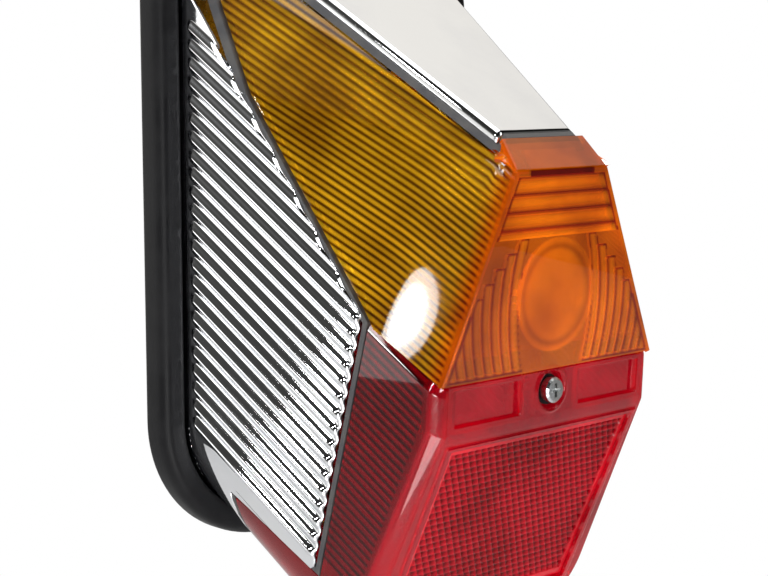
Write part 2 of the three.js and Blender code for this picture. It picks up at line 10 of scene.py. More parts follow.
import bpy
import numpy as np
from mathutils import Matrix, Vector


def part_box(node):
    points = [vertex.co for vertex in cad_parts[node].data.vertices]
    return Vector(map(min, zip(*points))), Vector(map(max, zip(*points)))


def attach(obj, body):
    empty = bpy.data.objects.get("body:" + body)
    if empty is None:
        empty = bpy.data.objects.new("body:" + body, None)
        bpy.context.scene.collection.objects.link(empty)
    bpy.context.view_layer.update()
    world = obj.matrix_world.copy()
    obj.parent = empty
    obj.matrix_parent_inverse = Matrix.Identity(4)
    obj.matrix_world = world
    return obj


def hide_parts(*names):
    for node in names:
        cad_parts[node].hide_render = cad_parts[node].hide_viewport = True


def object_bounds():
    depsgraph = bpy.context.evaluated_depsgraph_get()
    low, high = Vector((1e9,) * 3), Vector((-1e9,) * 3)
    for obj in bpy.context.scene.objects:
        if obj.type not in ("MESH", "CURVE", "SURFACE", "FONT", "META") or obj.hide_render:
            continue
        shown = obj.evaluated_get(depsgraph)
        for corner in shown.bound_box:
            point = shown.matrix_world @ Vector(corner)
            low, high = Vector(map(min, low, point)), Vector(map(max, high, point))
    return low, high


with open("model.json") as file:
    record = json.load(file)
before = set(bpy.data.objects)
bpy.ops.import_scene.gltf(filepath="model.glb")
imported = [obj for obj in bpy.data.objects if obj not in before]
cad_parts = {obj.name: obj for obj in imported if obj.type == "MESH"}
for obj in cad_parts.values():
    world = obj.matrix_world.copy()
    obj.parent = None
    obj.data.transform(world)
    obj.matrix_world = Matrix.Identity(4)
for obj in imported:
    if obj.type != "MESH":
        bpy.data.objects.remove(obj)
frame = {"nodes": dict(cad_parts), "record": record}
cad_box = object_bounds()
print("CAD box", cad_box)

# %% [markdown]
# The lamp has its own frame: y = 0 at the housing's rear edge, z = 0 at the seam between the
# amber and the red lens, in millimetres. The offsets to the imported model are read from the
# rubber base, whose front is the housing's seat, and from the lens screw, which sits a known
# distance under the seam. That way nothing has to be lined up by eye.

# %% The lamp's own frame and driving sizes
SCREW_BELOW_SEAM = 5.5
TILT = 0.68            # fall of roof, ribs and underside for each mm of reach
DRAFT = 0.1165         # how much each side closes in for each mm of reach
HALF, TOP, BOTTOM, CORNER = 54.0, 120.6, -50.0, 30.0
FACE = 90.0
RIB_PITCH, RIB_HALF, RIB_HEIGHT, RIB_COUNT, LOWEST_RIB = 5.07, 2.05, 1.25, 23, -17.8
ROOF_END = -85.8
ALONG = math.cos(math.atan(TILT))

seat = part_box("base_gasket")[0][1]
seam = sum(corner[2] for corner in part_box("lens_screw")) / 2 + SCREW_BELOW_SEAM / 1000
origin = np.array([0.0, seat, seam])
print("lamp frame sits at", origin.round(4))


def place(points):
    """Lamp millimetres to the model's metres: scale by a thousandth and add the offset."""
    return np.asarray(points, float) / 1000 + origin


# %% [markdown]
# Every new piece is a sheet: a grid of points with a face in each cell. Blender takes such
# arrays straight from numpy with foreach_set, which is far quicker than adding faces one by
# one. The faces must point outwards, so the helper compares the average face direction with
# the direction away from the middle of the lamp, and turns the sheet over if they disagree.
#
# A moulded lens is smooth outside, so that dirt washes off, and carries its prisms inside.
# So a lens is built as a closed wall: an outer grid, an inner grid set back along the normal
# by the wall and the height of the prisms, and a rim that joins their four edges.

# %% Turning a grid of points into a sheet
MIDDLE = np.array([0.0, -30.0, 10.0])


def build(name, points, quads, facing):
    """Makes the mesh from arrays of lamp-frame points and quads, turned over if facing is negative."""
    if facing < 0:
        quads = quads[:, ::-1]
    mesh = bpy.data.meshes.new(name)
    mesh.vertices.add(len(points))
    mesh.vertices.foreach_set("co", place(points).astype(np.float32).ravel())
    mesh.loops.add(quads.size)
    mesh.loops.foreach_set("vertex_index", quads.astype(np.int32).ravel())
    mesh.polygons.add(len(quads))
    mesh.polygons.foreach_set("loop_start", np.arange(0, quads.size, 4, dtype=np.int32))
    mesh.polygons.foreach_set("loop_total", np.full(len(quads), 4, dtype=np.int32))
    mesh.update()
    mesh.validate()
    mesh.polygons.foreach_set("use_smooth", np.ones(len(mesh.polygons), dtype=bool))
    mesh.set_sharp_from_angle(angle=math.radians(48))
    piece = bpy.data.objects.new(name, mesh)
    bpy.context.collection.objects.link(piece)
    print(name, len(mesh.polygons), "faces")
    return piece


def cells(rows, columns, loop=False):
    """Corner numbers of every cell of a grid, as quads; loop joins the last row to the first."""
    index = np.arange(rows * columns).reshape(rows, columns)
    if loop:
        index = np.vstack([index, index[:1]])
    return np.stack([index[:-1, :-1], index[1:, :-1], index[1:, 1:], index[:-1, 1:]], -1).reshape(-1, 4)


def outwardness(points, quads, middle):
    """Positive when the quads face away from middle: sum of area normals against the direction outwards."""
    corners = points[quads]
    normal = np.cross(corners[:, 2] - corners[:, 0], corners[:, 3] - corners[:, 1])
    return ((corners.mean(1) - middle) * normal).sum()


def sheet(name, grid, loop=False, middle=MIDDLE):
    """An open sheet from a grid of rows x columns x 3."""
    grid = np.asarray(grid, float)
    quads = cells(*grid.shape[:2], loop)
    points = grid.reshape(-1, 3)
    return build(name, points, quads, outwardness(points, quads, middle))


def moulding(name, outer, wall, relief=0.0, **masks):
    """A closed wall: inner point = outer point - unit normal x (wall + relief), and a rim round the edge.
    Each mask is a grid of 0 to 1 that the material reads as an attribute of that name."""
    outer = np.asarray(outer, float)
    normal = np.cross(np.gradient(outer, axis=0), np.gradient(outer, axis=1))
    normal = normal / np.maximum(np.linalg.norm(normal, axis=-1, keepdims=True), 1e-9)
    normal = normal * np.sign((normal * (outer - MIDDLE)).sum())
    inner = outer - normal * np.broadcast_to(wall + relief, outer.shape[:2])[..., None]
    rows, columns = outer.shape[:2]
    count = rows * columns
    index = np.arange(count).reshape(rows, columns)
    edge = np.concatenate([index[:, 0], index[-1, 1:], index[-2::-1, -1], index[0, -2:0:-1]])
    after = np.roll(edge, -1)
    rim = np.stack([after, edge, edge + count, after + count], -1)
    skin = cells(rows, columns)
    quads = np.concatenate([skin, skin[:, ::-1] + count, rim])
    points = np.concatenate([outer.reshape(-1, 3), inner.reshape(-1, 3)])
    piece = build(name, points, quads, outwardness(points, skin, MIDDLE))
    for mask, values in masks.items():
        layer = piece.data.attributes.new(mask, "FLOAT", "POINT")
        layer.data.foreach_set("value", np.tile(values.ravel(), 2).astype(np.float32))
    return piece


def thicken(piece, wall):
    """Gives the sheet a wall, in millimetres, inwards from the computed surface."""
    solid = piece.modifiers.new("wall", "SOLIDIFY")
    solid.thickness = wall / 1000
    solid.offset = -1.0
    return piece


def flip(grid):
    """The same grid on the other side of the lamp."""
    return np.asarray(grid) * np.array([-1.0, 1.0, 1.0])


# %% [markdown]
# Bright parts show their surroundings, so what we see on the ribs is the studio, not the
# metal. The camera is a long lens close to the lamp, low and from its left, which makes the
# base run off the top of the picture and the nose look large.

# %% Camera
camera_data = bpy.data.cameras.new("camera")
camera_data.sensor_width = 36.0
camera_data.lens = 79.2
camera = bpy.data.objects.new("camera", camera_data)
bpy.context.collection.objects.link(camera)
AZIMUTH, ELEVATION = math.radians(-44.0), math.radians(7.3)
camera.location = place([-344.2, -381.2, 79.6])
camera.rotation_euler = (math.pi / 2 - ELEVATION, 0.0, AZIMUTH)
camera_data.clip_start = 0.01
bpy.context.scene.camera = camera

# %% [markdown]
# The studio is a pale floor, a surround and a set of soft lights, most of them small. The
# surround is not even, because chrome under an even white sky looks like white paint. It is
# bright low down and dark above, which gives the ribs their grey and black lines, and dim on
# the viewer's side. The camera itself sees plain white.

# %% Studio light
scene = bpy.context.scene
scene.view_settings.view_transform = "Standard"
scene.cycles.max_bounces = 16
scene.cycles.transmission_bounces = 12
scene.cycles.transparent_max_bounces = 12

world = bpy.data.worlds.new("studio")
scene.world = world
world.use_nodes = True
sky = world.node_tree
sky.nodes.clear()
out = sky.nodes.new("ShaderNodeOutputWorld")
mix = sky.nodes.new("ShaderNodeMixShader")
seen = sky.nodes.new("ShaderNodeBackground")
seen.inputs["Color"].default_value = (1, 1, 1, 1)
lit = sky.nodes.new("ShaderNodeBackground")
path = sky.nodes.new("ShaderNodeLightPath")
coordinates = sky.nodes.new("ShaderNodeTexCoord")
split = sky.nodes.new("ShaderNodeSeparateXYZ")
ramp = sky.nodes.new("ShaderNodeValToRGB")
shift = sky.nodes.new("ShaderNodeMath")
behind = sky.nodes.new("ShaderNodeMapRange")
behind.inputs["From Min"].default_value = -0.25
behind.inputs["From Max"].default_value = 0.25
behind.inputs["To Min"].default_value = 0.12
behind.inputs["To Max"].default_value = 1.0
shift.operation = "MULTIPLY_ADD"
shift.inputs[1].default_value = 0.5
shift.inputs[2].default_value = 0.5
stops = [(0.0, 0.9), (0.35, 0.9), (0.52, 1.0), (0.6, 0.85), (0.65, 0.1), (0.8, 0.06), (0.9, 0.12), (1.0, 0.6)]
ramp.color_ramp.elements[0].position = stops[0][0]
ramp.color_ramp.elements[0].color = (stops[0][1],) * 3 + (1,)
ramp.color_ramp.elements[1].position = stops[-1][0]
ramp.color_ramp.elements[1].color = (stops[-1][1],) * 3 + (1,)
for position, value in stops[1:-1]:
    ramp.color_ramp.elements.new(position).color = (value, value * 0.985, value * 0.94, 1)
sky.links.new(coordinates.outputs["Generated"], split.inputs[0])
sky.links.new(split.outputs["Z"], shift.inputs[0])
sky.links.new(shift.outputs[0], ramp.inputs[0])
sky.links.new(ramp.outputs[0], lit.inputs["Color"])
sky.links.new(split.outputs["Y"], behind.inputs["Value"])
sky.links.new(behind.outputs["Result"], lit.inputs["Strength"])
sky.links.new(path.outputs["Is Camera Ray"], mix.inputs[0])
sky.links.new(lit.outputs[0], mix.inputs[1])
sky.links.new(seen.outputs[0], mix.inputs[2])
sky.links.new(mix.outputs[0], out.inputs[0])


# Small lights whose mirror images fall on both sides of the crease between flank and nose.
GLARE_AT = np.array([-40.8, -73.0, 18.5])
GLARE_OUT = np.array([(-0.833, -0.276, 0.48), (-0.847, 0.058, 0.529)])


def softbox(name, where, target, size, power):
    """A rectangular area light at where, in lamp millimetres, turned to face target."""
    data = bpy.data.lights.new(name, "AREA")
    data.shape = "RECTANGLE"
    data.size, data.size_y = size
    data.energy = power
    light = bpy.data.objects.new(name, data)
    bpy.context.collection.objects.link(light)
    light.location = place(where)
    aim = place(target) - place(where)
    flat = math.hypot(aim[0], aim[1])
    light.rotation_euler = (math.atan2(flat, -aim[2]), 0.0, math.atan2(-aim[0], aim[1]))
    return light


softbox("side", (-1250, 800, -120), (-45, -40, 20), (0.5, 0.5), 1.5)
softbox("strip", (-732, -753, -77), (-42, -88, -7), (0.16, 0.3), 3.0)
softbox("streak", (-523, 433, 539), (-46, -80, 8), (0.1, 0.24), 0.9)
softbox("front", (450, -900, 450), (0, -60, 0), (0.3, 0.5), 1.2)
softbox("over", (0, -100, 1100), (0, -100, 0), (1.2, 1.2), 11)
softbox("roof", (900, 140, 930), (0, -40, 60), (0.9, 0.9), 2.2).data.color = (1.0, 0.965, 0.9)
softbox("low", (-189, -218, -196), (-40, -85, -40), (0.14, 0.14), 0.45)
for number, facet in enumerate(GLARE_OUT):
    for ring in range(6):
        breadth = 0.01 + 0.009 * ring
        spark = softbox(f"spark_{number}_{ring}", GLARE_AT + (600 + ring) * facet, GLARE_AT,
                        (breadth, breadth * 1.5), 60 * breadth**2)
        spark.data.shape = "ELLIPSE"

floor_half = 1.0
floor_mesh = bpy.data.meshes.new("floor")
floor_z = cad_box[0][2] - 0.12
floor_mesh.from_pydata([(-floor_half, -floor_half, floor_z), (floor_half, -floor_half, floor_z),
                        (floor_half, floor_half, floor_z), (-floor_half, floor_half, floor_z)],
                       [], [(0, 1, 2, 3)])
floor = bpy.data.objects.new("floor", floor_mesh)
bpy.context.collection.objects.link(floor)

# %% [markdown]
# Nearly every finish on the lamp shares two faint effects: fine dust that settles in broken
# patches, and a slow unevenness in the gloss. Both are made once as a node group. Its inputs
# set the scale and strength, and it puts out a mask and a bump height.

# %% Shared surface wear group


def surface_group():
    """Mask = coarse noise raised to patches; Height = fine noise. Both read Object coordinates."""
    group = bpy.data.node_groups.new("surface unevenness", "ShaderNodeTree")
    face = group.interface
    face.new_socket(name="Patch Scale", in_out="INPUT", socket_type="NodeSocketFloat")
    face.new_socket(name="Grain Scale", in_out="INPUT", socket_type="NodeSocketFloat")
    face.new_socket(name="Mask", in_out="OUTPUT", socket_type="NodeSocketFloat")
    face.new_socket(name="Height", in_out="OUTPUT", socket_type="NodeSocketFloat")
    start = group.nodes.new("NodeGroupInput")
    end = group.nodes.new("NodeGroupOutput")
    where = group.nodes.new("ShaderNodeTexCoord")
    patches = group.nodes.new("ShaderNodeTexNoise")
    patches.inputs["Detail"].default_value = 4
    grain = group.nodes.new("ShaderNodeTexNoise")
    grain.inputs["Detail"].default_value = 3
    spread = group.nodes.new("ShaderNodeMapRange")
    spread.inputs["From Min"].default_value = 0.42
    spread.inputs["From Max"].default_value = 0.68
    link = group.links.new
    link(where.outputs["Object"], patches.inputs["Vector"])
    link(where.outputs["Object"], grain.inputs["Vector"])
    link(start.outputs["Patch Scale"], patches.inputs["Scale"])
    link(start.outputs["Grain Scale"], grain.inputs["Scale"])
    link(patches.outputs["Fac"], spread.inputs["Value"])
    link(spread.outputs["Result"], end.inputs["Mask"])
    link(grain.outputs["Fac"], end.inputs["Height"])
    return group


unevenness = surface_group()

# %% [markdown]
# A finish is a Principled shader with its plain numbers on the shader itself, and two things
# driven by the shared group: the colour moves a little towards a second colour in the
# patches, and the roughness moves between a low and a high value.

# %% Finishes


def finish(name, colour, worn, rough, metallic=0.0, patch=60.0, grain=900.0, bump=0.0, **plain):
    """Principled material whose colour and roughness vary between two values by the patch mask."""
    material = bpy.data.materials.new(name)
    material.use_nodes = True
    tree = material.node_tree
    shader = tree.nodes["Principled BSDF"]
    shader.inputs["Metallic"].default_value = metallic
    for socket, value in plain.items():
        shader.inputs[socket.replace("_", " ")].default_value = value
    group = tree.nodes.new("ShaderNodeGroup")
    group.node_tree = unevenness
    group.inputs["Patch Scale"].default_value = patch
    group.inputs["Grain Scale"].default_value = grain
    tint = tree.nodes.new("ShaderNodeMix")
    tint.data_type = "RGBA"
    tint.inputs["A"].default_value = (*colour, 1)
    tint.inputs["B"].default_value = (*worn, 1)
    gloss = tree.nodes.new("ShaderNodeMapRange")
    gloss.inputs["To Min"].default_value = rough[0]
    gloss.inputs["To Max"].default_value = rough[1]
    link = tree.links.new
    link(group.outputs["Mask"], tint.inputs["Factor"])
    link(group.outputs["Mask"], gloss.inputs["Value"])
    link(tint.outputs["Result"], shader.inputs["Base Color"])
    link(gloss.outputs["Result"], shader.inputs["Roughness"])
    if bump:
        relief = tree.nodes.new("ShaderNodeBump")
        relief.inputs["Strength"].default_value = bump
        relief.inputs["Distance"].default_value = 0.0002
        link(group.outputs["Height"], relief.inputs["Height"])
        link(relief.outputs["Normal"], shader.inputs["Normal"])
    return material


chrome = finish("bright chrome", (0.86, 0.87, 0.89), (0.8, 0.81, 0.84), (0.03, 0.09), 1.0, 40, 700, 0.03)
rubber = finish("moulded rubber", (0.006, 0.006, 0.007), (0.014, 0.014, 0.015), (0.4, 0.55), 0, 90, 2600, 0.3,
                Specular_IOR_Level=0.16)


def prism_finish(name, side_shade_colour, side_highlight_colour, front_shade_colour, front_highlight_colour, transmission, painted_glow, specular=0.3):
    """Clear plastic with painted light in its colour: one mask runs from a painted shade colour to a painted
    highlight colour, and the nose mask from the side's pair of colours to the front's pair, a painted
    difference in how side and front are lit. The emission repeats the same colour as a painted glow."""
    material = finish(name, (1, 1, 1), (0.6, 0.5, 0.45), (0.008, 0.03), 0, 38, 500, 0.0,
                      Transmission_Weight=transmission, IOR=1.49, Specular_IOR_Level=specular,
                      Emission_Strength=painted_glow)
    tree = material.node_tree
    shader = tree.nodes["Principled BSDF"]
    soiled = shader.inputs["Base Color"].links[0].from_socket
    masks = {}
    for mask in ("groove", "nose"):
        masks[mask] = tree.nodes.new("ShaderNodeAttribute")
        masks[mask].attribute_name = mask
    pairs = []
    for deep, bright in ((side_shade_colour, side_highlight_colour), (front_shade_colour, front_highlight_colour)):
        pair = tree.nodes.new("ShaderNodeMix")
        pair.data_type = "RGBA"
        pair.inputs["A"].default_value = (*deep, 1)
        pair.inputs["B"].default_value = (*bright, 1)
        tree.links.new(masks["groove"].outputs["Fac"], pair.inputs["Factor"])
        pairs.append(pair)
    either = tree.nodes.new("ShaderNodeMix")
    either.data_type = "RGBA"
    tree.links.new(masks["nose"].outputs["Fac"], either.inputs["Factor"])
    tree.links.new(pairs[0].outputs["Result"], either.inputs["A"])
    tree.links.new(pairs[1].outputs["Result"], either.inputs["B"])
    final = tree.nodes.new("ShaderNodeMix")
    final.data_type = "RGBA"
    final.blend_type = "MULTIPLY"
    final.inputs["Factor"].default_value = 1.0
    tree.links.new(either.outputs["Result"], final.inputs["A"])
    tree.links.new(soiled, final.inputs["B"])
    tree.links.new(final.outputs["Result"], shader.inputs["Base Color"])
    # Painted glow: the emission takes the painted colour, so the plastic gives off light of its own.
    tree.links.new(final.outputs["Result"], shader.inputs["Emission Color"])
    return material


# For each plastic: the side's and the front's painted shade and painted highlight colours, the light let
# through, and the strength of its painted glow.
amber = prism_finish("amber plastic", (0.05, 0.006, 0.0), (1.0, 0.6, 0.02),
                     (0.16, 0.004, 0.0), (1.0, 0.27, 0.002), 0.8, 0.34)
red = prism_finish("red plastic", (0.03, 0.0, 0.001), (0.45, 0.001, 0.009),
                   (0.18, 0.0, 0.005), (0.9, 0.004, 0.03), 0.78, 0.1, 0.15)
reflex = prism_finish("reflex prisms", (0.12, 0.0, 0.003), (0.9, 0.008, 0.025),
                      (0.2, 0.0, 0.004), (0.95, 0.01, 0.03), 0.35, 0.1, 0.2)
zinc = finish("zinc plate", (0.62, 0.64, 0.66), (0.5, 0.5, 0.48), (0.2, 0.38), 1.0, 300, 2400, 0.1)
brass = finish("stamped brass", (0.78, 0.56, 0.24), (0.6, 0.42, 0.2), (0.2, 0.36), 1.0, 260, 1500, 0.08)
seal_foam = finish("seal strip", (0.045, 0.045, 0.05), (0.09, 0.085, 0.08), (0.4, 0.6), 0, 150, 3000, 0.2)
white_plastic = finish("white moulding", (0.82, 0.8, 0.74), (0.72, 0.7, 0.64), (0.3, 0.45), 0, 80, 1200, 0.08)
bulb_glass = finish("bulb glass", (0.97, 0.98, 0.98), (0.93, 0.95, 0.95), (0.0, 0.02), 0, 90, 400, 0.0,
                    Transmission_Weight=1.0, IOR=1.45)
floor_paint = finish("pale floor", (0.8, 0.8, 0.8), (0.78, 0.78, 0.78), (0.6, 0.7), 0, 3, 40, 0.0)
tree = floor_paint.node_tree
bright = tree.nodes.new("ShaderNodeEmission")
bright.inputs["Color"].default_value = (1, 1, 1, 1)
ray = tree.nodes.new("ShaderNodeLightPath")
blend_floor = tree.nodes.new("ShaderNodeMixShader")
tree.links.new(ray.outputs["Is Camera Ray"], blend_floor.inputs[0])
tree.links.new(tree.nodes["Principled BSDF"].outputs[0], blend_floor.inputs[1])
tree.links.new(bright.outputs[0], blend_floor.inputs[2])
tree.links.new(blend_floor.outputs[0], tree.nodes["Material Output"].inputs["Surface"])
floor.data.materials.append(floor_paint)


def dress(piece, material, body, slot_name, *replaced):
    """Gives a finished piece its material and its body, and hides what it replaces; slot_name is not used."""
    piece.data.materials.append(material)
    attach(piece, body)
    if replaced:
        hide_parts(*replaced)
    return piece


# %% [markdown]
# The rubber base goes right round the lamp. Its outline is six round corners joined by
# straight tangents, so it is worked out from the corners' centres and radii: growing the
# radii moves the whole outline outwards evenly. The section is a rounded lip, a full outer
# edge and a thin web across the back.

# %% Outline of the base
LOW_X, LOW_Z = HALF - CORNER, BOTTOM + CORNER
CORNERS = np.array([(-LOW_X, LOW_Z, CORNER), (LOW_X, LOW_Z, CORNER), (45, 99.5, 9),
                    (31, 111.6, 9), (-31, 111.6, 9), (-45, 99.5, 9)], float)  # x, z and radius


def base_outline(grow, steps=26):
    """Arcs round each corner from one tangent's normal to the next; rows of (x, z)."""
    centres, radii = CORNERS[:, :2], CORNERS[:, 2]
    ahead = np.roll(centres, -1, 0) - centres
    length = np.hypot(*ahead.T)
    lean = np.arcsin((radii - np.roll(radii, -1)) / length)
    leave = np.arctan2(ahead[:, 1], ahead[:, 0]) - math.pi / 2 + lean
    enter = np.roll(leave, 1)
    sweep = (leave - enter) % (2 * math.pi)
    angle = enter[:, None] + sweep[:, None] * np.linspace(0, 1, steps)
    spoke = np.stack([np.cos(angle), np.sin(angle)], -1)
    return (centres[:, None] + (radii[:, None, None] + grow) * spoke).reshape(-1, 2)


def round_section(start, end, centre, count=7):
    """A quarter turn of a profile from start to end, as an ellipse arc about centre."""
    turn = np.linspace(0, math.pi / 2, count)[:, None]
    start, end, centre = (np.array(p, float) for p in (start, end, centre))
    return centre + (start - centre) * np.cos(turn) + (end - centre) * np.sin(turn)


def swept_base(profile):
    """Each (grow, y) of the profile is one loop of the outline; the loops are joined in order."""
    loops = []
    for grow, y in profile:
        outline = base_outline(grow)
        loops.append(np.stack([outline[:, 0], np.full(len(outline), y), outline[:, 1]], -1))
    return np.stack(loops, 1)


CENTRE = np.array([0.0, 0.0, 35.0])
LIP, BASE_REAR, WEB_FRONT = 8.4, 10.0, 8.2
rim = np.vstack([
    [(-4, BASE_REAR)], [(6, BASE_REAR)], round_section((6, BASE_REAR), (LIP, 7.6), (6, 7.6)),
    round_section((LIP, 4.2), (5.2, 0.1), (5.2, 4.2)),
    round_section((2.2, 0.1), (0.5, 1.6), (2.2, 1.6)), [(0.5, WEB_FRONT)],
])
rim_grid = swept_base(rim)
shrink = np.array([0.001, 0.5])[None, :, None]
flat = np.array([1.0, 0.0, 1.0])
back_web = CENTRE + (rim_grid[:, :1] - CENTRE) * flat * shrink + np.array([0, BASE_REAR, 0])
front_web = CENTRE + (rim_grid[:, -1:] - CENTRE) * flat * shrink[:, ::-1] + np.array([0, WEB_FRONT, 0])
gasket_grid = np.concatenate([back_web, rim_grid, front_web], 1)
gasket = sheet("rubber_base", gasket_grid, loop=True, middle=np.array([0, 5.0, 35.0]))
dress(gasket, rubber, "lamp_base", "rubber", "base_gasket")

# %% [markdown]
# The ribs of the housing run exactly along the lamp's slope, and so does its underside. A
# line of the surface therefore starts at one point of the rear outline and slides along the
# slope, drawing in a little. The seams cut each line off at its own reach. Ribs are then a
# height that depends only on where the line starts, with a rounded end.

# %% Lines of the sloping body


def slide(x0, z0, y):
    """A point of the rear outline carried to reach y: x shrinks by the draft and z falls by the tilt."""
    return np.stack(np.broadcast_arrays(x0 * (1 + DRAFT * y / HALF), y, z0 + TILT * y), -1)


def flank_line(count_side, count_corner, count_under, top):
    """Start points down the left side, round the corner and under to the middle: (x0, z0, outward)."""
    side = np.linspace(top, BOTTOM + CORNER, count_side)
    turn = np.linspace(0, math.pi / 2, count_corner + 1)[1:]
    under = np.linspace(-(HALF - CORNER), 0, count_under + 1)[1:]
    x0 = np.concatenate([np.full(count_side, -HALF), -(HALF - CORNER) - CORNER * np.cos(turn), under])
    z0 = np.concatenate([side, BOTTOM + CORNER - CORNER * np.sin(turn), np.full(count_under, BOTTOM)])
    nx = np.concatenate([np.full(count_side, -1.0), -np.cos(turn), np.zeros(count_under)])
    nz = np.concatenate([np.zeros(count_side), -np.sin(turn), np.full(count_under, -1.0)])
    return x0, z0, np.stack([nx, np.zeros_like(nx), nz], -1)


UNDER_SEAM = -17.0     # reach at which the red lens takes over the underside


def seam_reach(z0, under):
    """Reach at which a line meets the lens: the amber seam, the red seam, or the red underside."""
    amber_seam = (z0 - 105.41) / 0.6725
    red_seam = (-260.8 - z0) / 4.813
    lower_seam = (-29.77 - z0) / 0.137
    reach = np.where(z0 > 60.6, amber_seam, red_seam)
    reach = np.where(z0 < -23.0, np.minimum(lower_seam, UNDER_SEAM), reach)
    reach = np.where(under | (z0 < -27.5), UNDER_SEAM, reach)
    return reach


def from_rib(z0, pitch, count):
    """The distance to the nearest rib line, measured square to the ribs."""
    number = np.clip(np.round((z0 - LOWEST_RIB) / pitch), 0, count - 1)
    return (z0 - LOWEST_RIB - number * pitch) * ALONG


def rib_height(z0, y, start, half, high, pitch, count):
    """Raised cosine about each rib line, half wide; the distance is taken round the rib's start,
    so it ends round."""
    across = from_rib(z0, pitch, count)
    before = np.clip(y - (start - half), 0, None) / ALONG
    return high * (0.5 + 0.5 * np.cos(math.pi * np.clip(np.hypot(across, before) / half, 0, 1)))


# %% [markdown]
# The chrome sides come first. Each line begins at the rear edge and stops 2.3 mm short of its
# seam. The foot behind it, which stands on the backplate, is a straight ring of the same
# outline.

# %% Chrome sides
x0, z0, outward = flank_line(430, 30, 12, 102.0)
under = outward[:, 2] < -0.999
reach = seam_reach(z0, under) + 2.3
travel = np.linspace(0, 1, 74) ** 1.1
y = reach[:, None] * travel[None, :]
side_grid = slide(x0[:, None], z0[:, None], y)
height = rib_height(z0[:, None], y, -1.6, RIB_HALF, RIB_HEIGHT, RIB_PITCH, RIB_COUNT)
height = height * (outward[:, 0] < -0.999)[:, None] * np.sqrt(np.clip((y - reach[:, None] - 0.2) / 1.2, 0, 1))
side_grid = side_grid + outward[:, None, :] * height[..., None]
for word, grid in (("left", side_grid), ("right", flip(side_grid))):
    wall = thicken(sheet(f"chrome_side_{word}", grid), 1.6)
    dress(wall, chrome, "lamp_base", "chrome", *(["chrome_housing"] if word == "left" else []))

foot_profile = [(-2.4, 3.7), (-0.1, 3.7), (0.0, 3.5), (0.0, 0.0), (-0.4, -0.2), (-2.4, -0.2), (-2.4, 3.7)]
foot = sheet("chrome_foot", swept_base(foot_profile), loop=True, middle=np.array([0, 2.0, 35.0]))
dress(foot, chrome, "lamp_base", "chrome")

# %% [markdown]
# The roof is a flat strip that narrows towards the front, with a bevelled edge on each side.
# Its section is the same at every reach apart from its width, so it is one profile carried
# along the slope.

# %% Chrome roof
reach_row = np.linspace(0, ROOF_END + 2.1, 60)


def roof_section(y):
    """Half section of (x, drop below the roof) points at reach y: flat top, soft edge, bevel."""
    edge = 33.0 + 0.2275 * y
    drop = np.array([0, 0, 0, 0.05, 0.3, 2.6])
    x = np.stack([np.zeros_like(y), edge * 0.5, edge - 0.6, edge - 0.1, edge + 0.25, edge + 1.9], -1)
    return x, drop


roof_x, roof_drop = roof_section(reach_row)
roof_z = TOP + TILT * reach_row[:, None] - roof_drop
half_roof = np.stack([roof_x, np.broadcast_to(reach_row[:, None], roof_x.shape), roof_z], -1)
roof_grid = np.concatenate([flip(half_roof)[:, :0:-1], half_roof], 1)
roof = thicken(sheet("chrome_roof", roof_grid), 1.6)
dress(roof, chrome, "lamp_base", "chrome")

# A narrow strip closes each upper corner between side and roof, from the rear edge forward.
corner_from = np.array([(-53.3, 0, 103.0), (-33.8, 0, 119.0)])
corner_to = np.array([(-52.4, -2.2, 99.9), (-33.9, -2.2, 116.2)])
blend = np.linspace(0, 1, 8)[:, None, None]
corner_rows = corner_from * (1 - blend) + corner_to * blend
across = np.linspace(0, 1, 12)[None, :, None]
corner_grid = corner_rows[:, :1] * (1 - across) + corner_rows[:, 1:] * across
for word, grid in (("left", corner_grid), ("right", flip(corner_grid))):
    dress(thicken(sheet(f"chrome_shoulder_{word}", grid), 1.6), chrome, "lamp_base", "chrome")

# %% [markdown]
# The amber lens is one continuous skin: seam, left flank, front, right flank, seam. A row
# of the grid starts on the seam, follows the flutes forward to the nose edge, crosses the
# front level and goes back along the other side. The flank is two planes with a soft ridge,
# met by a facet towards the nose, so its x is a smooth mixture of three plane formulas.

# %% Amber flank surface


def plane_x(a, b, c):
    """Returns x as a function of (y, z) on the plane through three points."""
    a, b, c = (np.array(p, float) for p in (a, b, c))
    n = np.cross(b - a, c - a)
    return lambda y, z: a[0] - (n[1] * (y - a[1]) + n[2] * (z - a[2])) / n[0]


seam_top, seam_corner, roof_front = (-53, 0, 104), (-46.2, -66.7, 15.2), (-16, -85.7, 59.5)
lower_plane = plane_x(seam_top, seam_corner, roof_front)
upper_plane = plane_x(seam_top, roof_front, (-35, 0, 117.6))
nose_plane = plane_x(seam_corner, (-43, -FACE, 0), (-18.3, -93, 54))


def soft_max(a, b, softness):
    """The larger of two values, with the crossing rounded over about softness."""
    return (a + b + np.sqrt((a - b) ** 2 + softness**2)) / 2


def flank_x(y, z):
    """Ridge of the two side planes, then the nose facet where that stands further out."""
    ridge = soft_max(lower_plane(y, z), upper_plane(y, z), 1.2)
    return -soft_max(-ridge, -nose_plane(y, z), 1.0)


crown_plane = plane_x((-16.4, -85.8, 62.3), (-18.3, -93, 54), (-18.6, -85.8, 56.5))
roof_plane = plane_x((-13.5, -85.8, 62.3), (-33, 0, TOP), (-17, -85.8, 57.5))


def trimmed_x(y, z):
    """The flank, cut back by the bevel along the roof and, in front of the roof, round the crown."""
    limit = np.where(y > ROOF_END - 0.2, roof_plane(y, z), np.where(z > 54, crown_plane(y, z), -99.0))
    return np.maximum(flank_x(y, z), limit)


def front_y(z):
    """The amber front leans forward slightly with height."""
    return -FACE - 3.0 * z / 54.0


